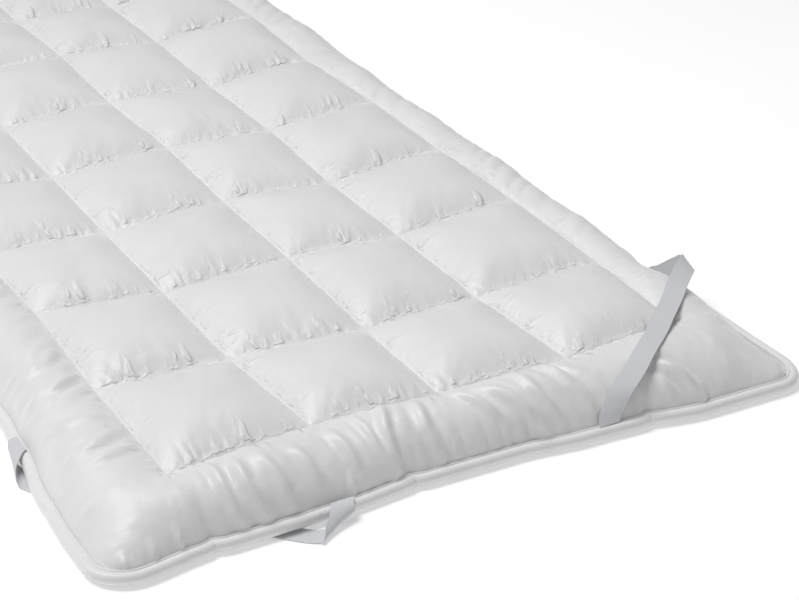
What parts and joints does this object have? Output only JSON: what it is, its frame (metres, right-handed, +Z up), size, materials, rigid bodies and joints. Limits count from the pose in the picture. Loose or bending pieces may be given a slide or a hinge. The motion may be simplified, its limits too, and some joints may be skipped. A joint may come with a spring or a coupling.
{
  "type": "mattress protector",
  "caption": "Quilted single-bed mattress protector lying flat, with a plain border channel, piped edge and flat elastic straps across its corners.",
  "frame": {"origin": "on the floor under the middle of the whole part", "axes": "+X across the pad, +Y along its length away from the front edge, +Z up"},
  "size_m": [0.91, 2.0502, 0.0686],
  "materials": {
    "satin": "white satin cotton with a soft sheen",
    "piping": "white bias strip over a cord",
    "elastic": "pale grey flat woven elastic"
  },
  "bodies": {
    "root": {"quilted_pad": "satin", "edge_piping": "piping", "corner_strap_front_left": "elastic", "corner_strap_front_right": "elastic", "corner_strap_back_left": "elastic", "corner_strap_back_right": "elastic"}
  },
  "joints": []
}
